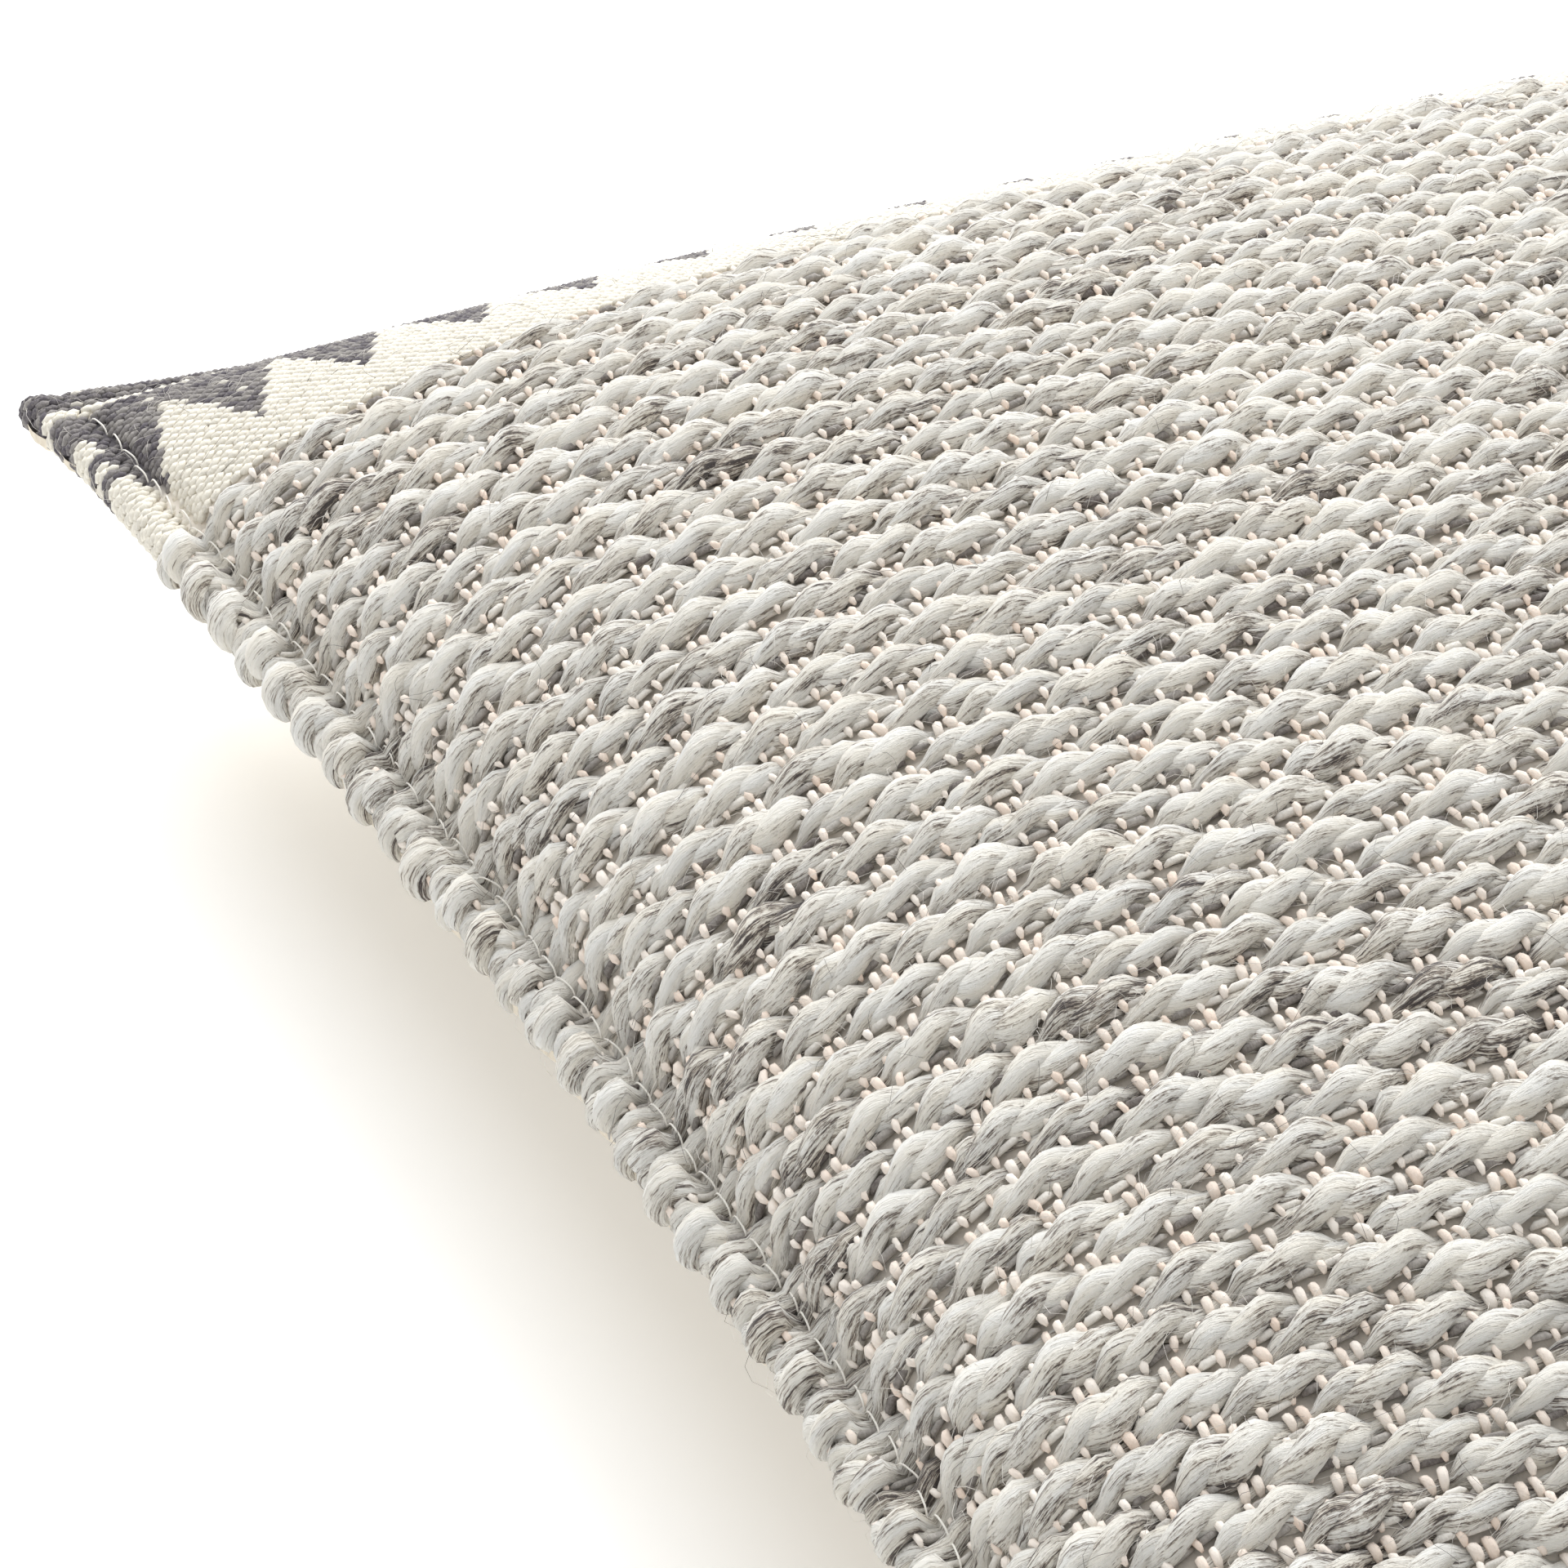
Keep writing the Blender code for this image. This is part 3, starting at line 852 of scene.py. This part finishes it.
def makeBorder():
    settings = {
        "pitchX": 0.0028,
        "pitchY": 0.00172,
        "long": 0.64,  # of pitchX
        "wide": 0.001122,
        "tall": 0.00085,
        "out": -0.0008,
        "bend": 60,
        "lean": (0.10, 0.12),
        "jitter": (0.00016, 0.00010),
        "edge": 0.999,
        "cornerFold": 1.972,
        "valley": (0.0007, 0.002),
        "charcoal": (0.72, 1.0),
        "cream": (0.0, 0.13),
        "flecks": 0.018,
        "fleck": (0.1, 0.4),
    }
    startB, endB = settings["edge"], bandEndB + 0.0005 * perMetreB
    lineCount = int((startB - endB) / perMetreB / settings["pitchY"])
    perLine = int(2 / perMetreA / settings["pitchX"])
    lineIndex, spot = np.meshgrid(np.arange(lineCount), np.arange(perLine), indexing="ij")
    a = -1 + (spot + 0.25 + 0.5 * (lineIndex % 2)) * settings["pitchX"] * perMetreA
    b = startB - (lineIndex + 0.5) * settings["pitchY"] * perMetreB
    keep = (np.abs(a) < settings["edge"]) & (np.abs(a) + np.abs(b) < settings["cornerFold"])
    a, b = a[keep], b[keep]
    many = len(a)
    isCharcoal = charcoalAt(fromLeftEdge(a), fromBackEdge(b)) > 0.5
    a = a + rng.normal(0, settings["jitter"][0], many) * perMetreA
    b = b + rng.normal(0, settings["jitter"][1], many) * perMetreB
    isFleck = isCharcoal & (rng.random(many) < settings["flecks"])
    tones = [rng.uniform(*settings[kind], many) for kind in ("charcoal", "cream", "fleck")]
    tone = np.where(isFleck, tones[2], np.where(isCharcoal, tones[0], tones[1]))
    mesh, shape, which = beads("flatBorder", many)
    long = settings["pitchX"] * settings["long"] * rng.uniform(0.9, 1.12, many)[which]
    wide = settings["wide"] * rng.uniform(0.9, 1.15, many)[which]
    tall = settings["tall"] * rng.uniform(0.9, 1.15, many)[which]
    lay = Lay(face, a[which], b[which])
    x = shape[:, 0] * long
    y = shape[:, 1] * wide + x * rng.normal(*settings["lean"], many)[which]
    out = shape[:, 2] * tall + settings["out"] - x * x * settings["bend"]
    moveTo(mesh, lay.at(along=x, across=y, out=out + stitchValley(lay, *settings["valley"])))
    giveValue(mesh, "tone", tone[which])
    return facePiece("flatBorder", mesh, flatYarn)


flatBorder = makeBorder()


def makeFuzz():
    settings = {
        "count": 9600,
        "radius": 0.00005,
        "length": (0.003, 0.010),
        "reach": 0.985,
        "swing": 0.75,
        "curl": 90,
        "rise": (0.0003, 0.0019),
        "start": (-0.0004, 0.0018),
        "startOnBand": -0.0006,
        "dark": 0.22,
    }
    many = settings["count"]
    mesh, z, angle, which = tubes("looseFibres", many, 3, 2)
    a0 = rng.uniform(-settings["reach"], settings["reach"], many)
    b0 = rng.uniform(rollTopB * 0.99, settings["reach"], many)
    direction = rng.normal(0, settings["swing"], many) + np.where(rng.random(many) < 0.5, 0, np.pi)
    length = rng.uniform(*settings["length"], many)
    curl = rng.normal(0, settings["curl"], many)
    part = z + 0.5
    run = part * length[which]
    heading = direction[which] + curl[which] * run
    x = run * np.cos(heading)
    y = run * np.sin(heading)
    rise = rng.uniform(*settings["rise"], many)[which]
    onBand = fromBackEdge(b0) < band["width"]
    start = np.where(onBand, settings["startOnBand"], rng.uniform(*settings["start"], many))[which]
    up = start + rise * np.sin(np.pi * part) ** 0.8
    lay = Lay(face, a0[which] + x * perMetreA, np.clip(b0[which] + y * perMetreB, -0.999, 0.999))
    thick = settings["radius"] * (1.1 - 0.6 * part)
    wide = thick * np.cos(angle)
    out = up + thick * np.sin(angle)
    moveTo(mesh, clearOfZip(lay.at(along=-np.sin(heading) * wide, across=np.cos(heading) * wide, out=out)))
    giveValue(mesh, "tone", np.where(rng.random(many) < settings["dark"], 0.9, 0.1)[which])
    return facePiece("looseFibres", mesh, weftYarn)


looseFibres = makeFuzz()


def makeTopstitch(side):
    # one long stitch per row, pulled down into the weave
    settings = {
        "pitch": 0.0068,
        "share": 0.94,  # of the pitch, the rest is the gap
        "reach": 0.985,
        "radius": 0.00018,
        "out": 0.0007,
        "lowOnBand": 0.0008,
        "dive": 0.0014,
        "uneven": (0.00015, 0.0003, 0.0004),  # in height, aside and askew
    }
    name = "stitches" + side.title()
    along = side in ("back", "zip")
    limit = stitchShare * settings["reach"]
    many = int(2 * limit * sectionReach / settings["pitch"])
    mesh, z, angle, which = tubes(name, many, 6, 7)
    middle = (np.arange(many) - (many - 1) / 2) * settings["pitch"] / sectionReach
    run = middle[which] + z * settings["pitch"] * settings["share"] / sectionReach
    fixed = np.full_like(run, stitchShare if side in ("back", "right") else -stitchShare)
    p, q = (run, fixed) if along else (fixed, run)
    step = 1e-4
    place = facePoint(p, q)
    ahead = unit(facePoint(p + (step if along else 0), q + (0 if along else step)) - place)
    up = unit(np.array([0.0, 0.0, 1.0]) - ahead * ahead[:, 2:3])
    sideways = np.cross(up, ahead)
    part = z * 2
    high, aside, askew = (rng.normal(0, uneven, many)[which] for uneven in settings["uneven"])
    lift = settings["out"] - settings["dive"] * part**4 + high
    if side == "back":
        lift = lift - settings["lowOnBand"]
    lift = lift + settings["radius"] * np.sin(angle)
    aside = aside + askew * part + settings["radius"] * np.cos(angle)
    moveTo(mesh, place + up * lift[:, None] + sideways * aside[:, None])
    giveValue(mesh, "tone", np.full(len(z), 0.1))
    return makePiece(name, mesh, stitchThread, "cushion", ["topstitch_" + side])


topstitches = [makeTopstitch(side) for side in ("left", "right", "back", "zip")]


def cottonMaterial(name, base, shade, threads=1100.0):
    # a plain weave with slubs
    material = newMaterial(name, roughness=0.85, sheen=0.1)
    place = objectPlace(material)
    waves = []
    for direction in ("X", "Y"):
        wave = addNode(material, "ShaderNodeTexWave", wave_type="BANDS", bands_direction=direction)
        setInputs(wave, {"Scale": threads / 6.2832, "Distortion": 1.2, "Detail": 1.0, "Detail Scale": 0.4})
        link(material, place, wave.inputs["Vector"])
        waves.append(wave.outputs["Fac"])
    slubs = noiseNode(material, place, 60.0, 4.0, 0.65, (1, 6, 1))
    specks = noiseNode(material, place, 900.0, 2.0, 0.5)
    strongSlubs = mathNode(material, "MULTIPLY", slubs, 0.6)
    value = mathNode(material, "ADD", strongSlubs, mathNode(material, "MULTIPLY", specks, 0.4))
    paint(material, value, [(0.3, base), (0.62, shade)])
    weave = mathNode(material, "MULTIPLY", *waves)
    bumpFrom(material, mathNode(material, "ADD", weave, strongSlubs), 0.35, 0.0003)
    return material


backCotton = cottonMaterial("naturalCotton", colour(232, 224, 208), colour(212, 201, 182))


def makeBackCloth():
    settings = {
        "across": 220,
        "turned": 1.62,  # how far it turns up the rolled edge, in radians
        "pucker": 0.0007,
        "puckerWave": 6.283 / 0.013,
        "puckerShift": 1.3,
        "puckerPlace": 0.965,
        "puckerReach": 0.012,
        "flatBelow": 0.004,
        "rim": 0.0008,
        "rimReach": 0.004,
        "lowest": 0.0002,
    }
    grid = gridOf(settings["across"])
    bmesh.ops.reverse_faces(grid, faces=grid.faces)
    mesh = meshFrom(grid, "backCloth")
    points = coordinates(mesh)
    reach = rollShare(back, settings["turned"], "X")
    a, b = points[:, 0] * reach, lipShare(points[:, 0], points[:, 1]) * reach
    read = sampleTable(back["table"], a, b)
    place, inward = read[:, 0:3], read[:, 3:6]
    p, q = np.abs(read[:, 9]), np.abs(read[:, 10])
    near = np.abs(np.stack([p, q]) - settings["puckerPlace"]).min(axis=0) * sectionReach
    wave = np.sin(place[:, 0] * settings["puckerWave"])
    wave = wave + np.sin(place[:, 1] * settings["puckerWave"] + settings["puckerShift"])
    pucker = settings["pucker"] * wave * np.exp(-((near / settings["puckerReach"]) ** 2))
    pucker = pucker * (place[:, 2] > settings["flatBelow"])
    rim = np.clip((np.maximum(p, q) - stitchShare) * sectionReach / settings["rimReach"], 0, 1)
    place = place + inward * (pucker + settings["rim"] * rim)[:, None]
    place[:, 2] = np.maximum(place[:, 2], settings["lowest"])
    moveTo(mesh, place)
    piece = makePiece("backCloth", mesh, backCotton, "cushion", ["back_panel"], closed=False)


makeBackCloth()


casingCotton = cottonMaterial("insertCotton", colour(244, 242, 236), colour(230, 227, 218), 2600.0)


def makeInsert():
    settings = {"half": 0.2295, "pullIn": 0.05, "rise": 0.055, "belly": 0.0445, "crease": 0.0016}
    one = gridOf(90)
    lower = bmesh.ops.duplicate(one, geom=one.verts[:] + one.edges[:] + one.faces[:])
    lowerFaces = [g for g in lower["geom"] if isinstance(g, bmesh.types.BMFace)]
    lowerVerts = [g for g in lower["geom"] if isinstance(g, bmesh.types.BMVert)]
    bmesh.ops.reverse_faces(one, faces=lowerFaces)
    bmesh.ops.translate(one, verts=lowerVerts, vec=(0, 0, -1))
    for vert in one.verts:
        s = math.sin(vert.co.x * math.pi / 2)
        t = math.sin(vert.co.y * math.pi / 2)
        crown = float(swell(s) * swell(t))
        x = settings["half"] * s * (1 - settings["pullIn"] * (1 - t * t))
        y = settings["half"] * t * (1 - settings["pullIn"] * (1 - s * s))
        height = -settings["belly"] * crown
        if vert.co.z > -0.5:
            crease = settings["crease"] * math.sin(9 * s + 4 * t) * math.sin(7 * t - 3 * s) * crown
            height = settings["rise"] * crown + crease
        vert.co = (x, y, cover["seamHeight"] + height)
    bmesh.ops.remove_doubles(one, verts=one.verts, dist=1e-6)
    inside = ["insert_casing_front", "insert_casing_back", "insert_fill"]
    mesh = meshFrom(one, "insertCushion")
    piece = makePiece("insertCushion", mesh, casingCotton, "cushion", inside)


makeInsert()


def plainMetal(name, shade):
    material = newMaterial(name, roughness=0.32, metallic=1.0)
    brushed = noiseNode(material, objectPlace(material), 2500.0, 3.0, 0.6, (1, 1, 0.2))
    darker = tuple(c * 0.8 for c in shade[:3]) + (1.0,)
    paint(material, brushed, [(0.3, darker), (0.7, shade)])
    bumpFrom(material, brushed, 0.08, 0.0001)
    return material


def tapeMaterial(name):
    material = newMaterial(name, roughness=0.75, sheen=0.1)
    place = objectPlace(material)
    rib = addNode(material, "ShaderNodeTexWave", wave_type="BANDS", bands_direction="X")
    setInputs(rib, {"Scale": 380.0})
    link(material, place, rib.inputs["Vector"])
    fine = noiseNode(material, place, 1800.0, 2.0, 0.5)
    paint(material, fine, [(0.3, colour(196, 186, 170)), (0.7, colour(214, 205, 190))])
    bumpFrom(material, rib.outputs["Fac"], 0.4, 0.0002)
    return material


def coilMaterial(name):
    material = newMaterial(name, roughness=0.4)
    mottle = noiseNode(material, objectPlace(material), 700.0, 2.0, 0.5)
    paint(material, mottle, [(0.3, colour(186, 176, 160)), (0.7, colour(206, 197, 182))])
    bumpFrom(material, mottle, 0.1, 0.0001)
    return material


nickel = plainMetal("brushedNickel", colour(158, 155, 150))
zipTape = tapeMaterial("zipTapeWeave")
zipCoil = coilMaterial("nylonCoil")


def dress(nodeName, material):
    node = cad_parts[nodeName]
    node.data.materials.clear()
    node.data.materials.append(material)


for nodeName in ("zip_tape_upper", "zip_tape_lower"):
    dress(nodeName, zipTape)
for nodeName in ("zip_top_stop_upper", "zip_top_stop_lower", "zip_end_stop"):
    dress(nodeName, nickel)


def boxAt(halves, middle):
    one = bmesh.new()
    bmesh.ops.create_cube(one, size=2.0)
    bmesh.ops.scale(one, verts=one.verts, vec=halves)
    bmesh.ops.translate(one, verts=one.verts, vec=middle)
    return one


def cutAcross(one, cuts):
    longEdges = [e for e in one.edges if e.calc_length() > 0.1]
    bmesh.ops.subdivide_edges(one, edges=longEdges, cuts=cuts, use_grid_fill=True)


def makeZipFolds():
    # the cover's turned-in hem all round the zip's opening
    settings = {
        "halfLength": 0.1792,
        "halfHeight": 0.0031,
        "front": -0.2366,
        "rear": -0.2240,
        "thickness": 0.0005,
        "round": 0.0015,
        "cuts": 90,
    }
    depth = settings["rear"] - settings["front"]
    halves = (settings["halfLength"], depth / 2, settings["halfHeight"])
    one = boxAt(halves, (0, (settings["front"] + settings["rear"]) / 2, cover["seamHeight"]))
    ends = [f for f in one.faces if abs(f.normal.y) > 0.9]
    bmesh.ops.delete(one, geom=ends, context="FACES_ONLY")
    corners = [e for e in one.edges if abs(e.verts[0].co.y - e.verts[1].co.y) > depth / 2]
    bmesh.ops.bevel(
        one, geom=corners, offset=settings["round"], segments=4, affect="EDGES", profile=0.5, material=-1,
    )
    cutAcross(one, settings["cuts"])
    bmesh.ops.recalc_face_normals(one, faces=one.faces)
    bmesh.ops.solidify(one, geom=one.faces[:], thickness=-settings["thickness"])
    bmesh.ops.recalc_face_normals(one, faces=one.faces)
    mesh = meshFrom(one, "zipFolds")
    return makePiece("zipFolds", mesh, casingCotton, "cushion", ["back_panel"])


def makeZipGuard():
    # a thin strip of tape behind the coils
    settings = {"halfLength": 0.1768, "halfHeight": 0.0014, "y": -0.2315, "thickness": 0.0004, "cuts": 60}
    halves = (settings["halfLength"], settings["thickness"] / 2, settings["halfHeight"])
    one = boxAt(halves, (0, settings["y"], cover["seamHeight"]))
    cutAcross(one, settings["cuts"])
    return makePiece("zipGuard", meshFrom(one, "zipGuard"), zipTape, "cushion")


def makeCoil(name, node, shift):
    # one moulded loop after another along the tape's edge
    settings = {"pitch": 0.00128, "length": 0.00056, "depth": 0.00096, "height": 0.00068}
    low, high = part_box(node)
    middle = [(l + h) / 2 for l, h in zip(low, high)]
    count = int((high[0] - low[0]) / settings["pitch"]) - 1
    mesh, shape, which = beads(name, count)
    x = low[0] + settings["pitch"] * (which + 0.75 + shift) + shape[:, 0] * settings["length"]
    y = middle[1] + shape[:, 1] * settings["depth"] + shape[:, 2] * 0.0001
    z = middle[2] + shape[:, 2] * settings["height"]
    moveTo(mesh, np.stack([x, y, z], axis=1))
    return makePiece(name, mesh, zipCoil, "cushion", [node])


def makeSmoothed(name, node, body, offset):
    # the frame's own metal part with its edges broken
    one = bmesh.new()
    one.from_mesh(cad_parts[node].data)
    bmesh.ops.remove_doubles(one, verts=one.verts, dist=1e-6)
    bmesh.ops.dissolve_limit(one, angle_limit=math.radians(4), verts=one.verts, edges=one.edges)
    sharp = [e for e in one.edges if len(e.link_faces) == 2 and e.calc_face_angle(0) > math.radians(30)]
    bmesh.ops.bevel(
        one, geom=sharp, offset=offset, segments=2, clamp_overlap=True,
        affect="EDGES", profile=0.5, material=-1,
    )
    bmesh.ops.triangulate(one, faces=one.faces)
    bmesh.ops.recalc_face_normals(one, faces=one.faces)
    piece = makePiece(name, meshFrom(one, name), nickel, body, [node])
    piece.data.set_sharp_from_angle(angle=math.radians(35))
    return piece


makeZipFolds()
makeZipGuard()
makeCoil("coilUpper", "zip_coil_upper", 0.0)
makeCoil("coilLower", "zip_coil_lower", 0.5)
makeSmoothed("zipSlider", "zip_slider", "slider", 0.00028)
makeSmoothed("zipPull", "zip_pull", "pull", 0.00022)


def makeFloor():
    settings = {"size": 6.0, "drop": 0.0005, "shade": colour(250, 250, 249), "glow": 0.16}
    plane = gridOf(1, settings["size"])
    bmesh.ops.translate(plane, verts=plane.verts, vec=(0, 0, -settings["drop"]))
    mesh = meshFrom(plane, "floor")
    material = newMaterial("paleFloor", roughness=0.9)
    setInputs(shaderOf(material), {
        "Base Color": settings["shade"],
        "Emission Color": (1.0, 1.0, 1.0, 1.0),
        "Emission Strength": settings["glow"],
    })
    mesh.materials.append(material)
    intoScene("floor", mesh)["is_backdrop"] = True


def addLight(name, place, size, power, shade):
    data = bpy.data.lights.new(name, "AREA")
    data.shape = "SQUARE"
    data.size = size
    data.energy = power
    data.color = shade
    lamp = intoScene(name, data)
    lamp.location = place
    toPillow = Vector((0, 0, 0.05)) - Vector(place)
    lamp.rotation_euler = toPillow.to_track_quat("-Z", "Y").to_euler()


def lightScene():
    settings = {"sky": 0.64, "skyToCamera": 0.36}  # together they make the camera's own sky white
    world = bpy.data.worlds.new("studio")
    world.use_nodes = True
    background = world.node_tree.nodes["Background"]
    background.inputs["Color"].default_value = (1.0, 1.0, 1.0, 1.0)
    path = addNode(world, "ShaderNodeLightPath").outputs["Is Camera Ray"]
    seen = mathNode(world, "MULTIPLY", path, settings["skyToCamera"])
    link(world, mathNode(world, "ADD", seen, settings["sky"]), background.inputs["Strength"])
    bpy.context.scene.world = world
    addLight("backRight", (1.15, 1.95, 1.75), 1.8, 44, (1.0, 0.995, 0.99))
    addLight("overhead", (0.5, 1.7, 2.3), 3.4, 86, (0.98, 0.99, 1.0))


def placeCamera():
    view = {
        "azimuth": -25.1,
        "elevation": 33.2,
        "roll": 0.66,
        "place": (-0.5507, -0.7579, 0.6427),
        "lens": 135.06,
    }
    a, e, r = (math.radians(view[k]) for k in ("azimuth", "elevation", "roll"))
    backward = Vector((math.sin(a) * math.cos(e), -math.cos(a) * math.cos(e), math.sin(e)))
    right = Vector((math.cos(a), math.sin(a), 0.0))
    up = backward.cross(right)
    right, up = right * math.cos(r) + up * math.sin(r), up * math.cos(r) - right * math.sin(r)
    data = bpy.data.cameras.new("camera")
    data.sensor_width = 36.0
    data.lens = view["lens"]
    data.clip_start = 0.01
    camera = intoScene("camera", data)
    camera.matrix_world = Matrix((right, up, backward)).transposed().to_4x4()
    camera.location = view["place"]
    bpy.context.scene.camera = camera


makeFloor()
lightScene()
placeCamera()
bpy.context.scene.view_settings.view_transform = "Standard"
total = sum(len(o.data.loop_triangles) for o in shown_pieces() if o.type == "MESH")
print("scene ready,", total, "triangles in new pieces")
